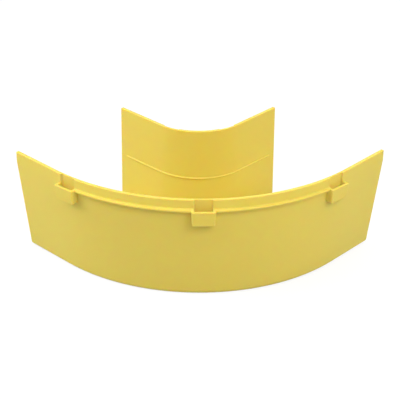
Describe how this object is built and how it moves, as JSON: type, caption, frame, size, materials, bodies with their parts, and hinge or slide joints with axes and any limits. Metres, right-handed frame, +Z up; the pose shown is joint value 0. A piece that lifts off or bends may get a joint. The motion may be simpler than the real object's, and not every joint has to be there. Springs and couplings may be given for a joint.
{
  "type": "fibre raceway elbow",
  "caption": "Open-topped fibre raceway elbow that turns 90 degrees in the flat, with a flared outer wall and sockets and a ledge for a clip-on cover.",
  "frame": {"origin": "on the underside, at the centre of the bounding box's base", "axes": "+X out of one duct end, +Y out of the other, +Z up out of the open top"},
  "size_m": [0.2366, 0.2366, 0.1],
  "materials": {
    "body": "satin moulded yellow plastic"
  },
  "bodies": {
    "root": {"raceway_elbow": "body"}
  },
  "joints": []
}
